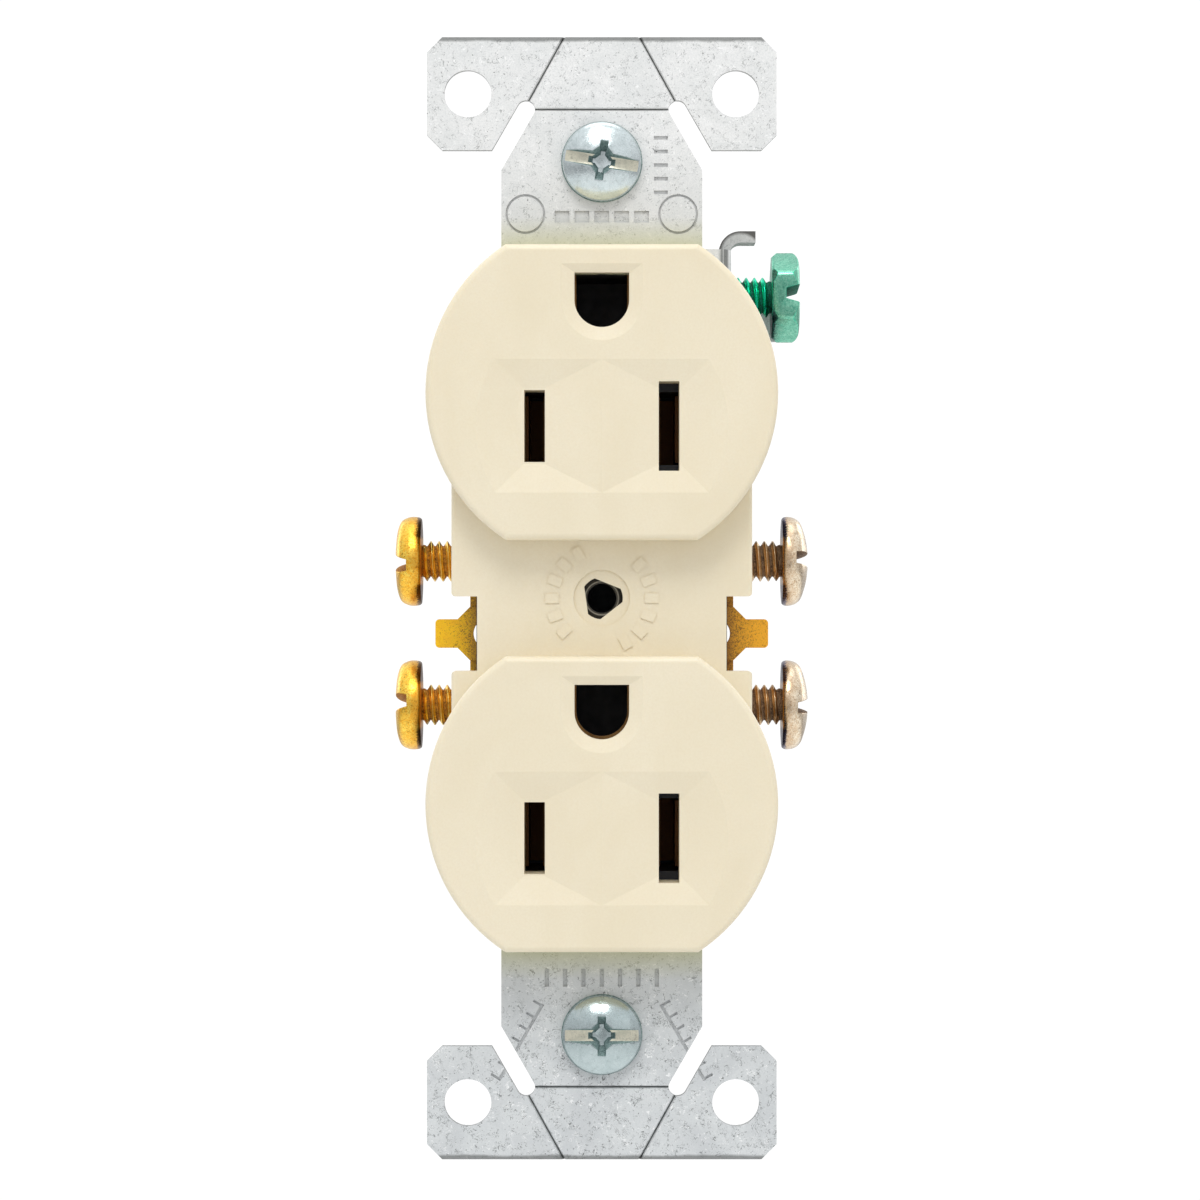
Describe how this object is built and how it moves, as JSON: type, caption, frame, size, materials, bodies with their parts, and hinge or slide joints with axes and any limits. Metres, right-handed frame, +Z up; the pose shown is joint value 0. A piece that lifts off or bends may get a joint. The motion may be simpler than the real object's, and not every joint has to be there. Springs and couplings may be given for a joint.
{
  "type": "duplex wall outlet",
  "caption": "Duplex wall outlet: ivory double socket face with grounded blade slots on a steel mounting strap, backed-out side wiring screws and a green grounding screw.",
  "frame": {"origin": "centre of the tapped cover plate hole, on the strap's rear face, where the ears meet the wall", "axes": "+Z up along the strap, -Y out of the wall through the socket faces, +X to the viewer's right (neutral and grounding side)"},
  "size_m": [0.0402, 0.0273, 0.1072],
  "materials": {
    "galvanised_steel": "dull galvanised sheet with fine pits",
    "ivory_plastic": "satin ivory moulding",
    "dark_thermoset": "dull near-black moulding",
    "brass_strip": "stamped strip, tarnished in the bends",
    "contact_bronze": "plain spring strip",
    "zinc_steel": "bright blue-white zinc plating",
    "brass_screw": "bright yellow plated steel",
    "nickel_screw": "warm nickel plating, brown in the threads",
    "green_screw": "green dyed zinc plating",
    "fibre": "pressed fibre",
    "spring_steel": "plain spring strip"
  },
  "bodies": {
    "housing": {"strap": "galvanised_steel", "face_cover": "ivory_plastic", "back_body": "dark_thermoset", "hot_terminal": "brass_strip", "neutral_terminal": "brass_strip", "ground_contact_top": "contact_bronze", "ground_contact_bottom": "contact_bronze", "ground_contact_rivets": "zinc_steel", "housing_screws": "zinc_steel", "push_in_clip_hot_top": "spring_steel", "push_in_clip_hot_bottom": "spring_steel", "push_in_clip_neutral_top": "spring_steel", "push_in_clip_neutral_bottom": "spring_steel"},
    "brass_screw_top": {"brass_screw_top": "brass_screw"},
    "brass_screw_bottom": {"brass_screw_bottom": "brass_screw"},
    "silver_screw_top": {"silver_screw_top": "nickel_screw"},
    "silver_screw_bottom": {"silver_screw_bottom": "nickel_screw"},
    "ground_screw": {"ground_screw": "green_screw"},
    "screw_retainer_top": {"screw_retainer_top": "fibre"},
    "mounting_screw_top": {"mounting_screw_top": "zinc_steel"},
    "screw_retainer_bottom": {"screw_retainer_bottom": "fibre"},
    "mounting_screw_bottom": {"mounting_screw_bottom": "zinc_steel"}
  },
  "joints": [
    {"name": "brass_screw_top_travel", "type": "slide", "parent": "housing", "child": "brass_screw_top", "axis": [-1, 0, 0], "range_m": [-0.0048, 0]},
    {"name": "brass_screw_bottom_travel", "type": "slide", "parent": "housing", "child": "brass_screw_bottom", "axis": [-1, 0, 0], "range_m": [-0.0048, 0]},
    {"name": "silver_screw_top_travel", "type": "slide", "parent": "housing", "child": "silver_screw_top", "axis": [1, 0, 0], "range_m": [-0.0048, 0]},
    {"name": "silver_screw_bottom_travel", "type": "slide", "parent": "housing", "child": "silver_screw_bottom", "axis": [1, 0, 0], "range_m": [-0.0048, 0]},
    {"name": "ground_screw_travel", "type": "slide", "parent": "housing", "child": "ground_screw", "axis": [1, 0, 0], "range_m": [-0.0041, 0]},
    {"name": "mounting_screw_top_slide", "type": "slide", "parent": "housing", "child": "screw_retainer_top", "axis": [0, -1, 0], "range_m": [0, 0.003]},
    {"name": "mounting_screw_top_turn", "type": "hinge", "parent": "screw_retainer_top", "child": "mounting_screw_top", "pos_m": [0, 0, 0.04167], "axis": [0, -1, 0], "continuous": true},
    {"name": "mounting_screw_bottom_slide", "type": "slide", "parent": "housing", "child": "screw_retainer_bottom", "axis": [0, -1, 0], "range_m": [0, 0.003]},
    {"name": "mounting_screw_bottom_turn", "type": "hinge", "parent": "screw_retainer_bottom", "child": "mounting_screw_bottom", "pos_m": [0, 0, -0.04167], "axis": [0, -1, 0], "continuous": true}
  ]
}
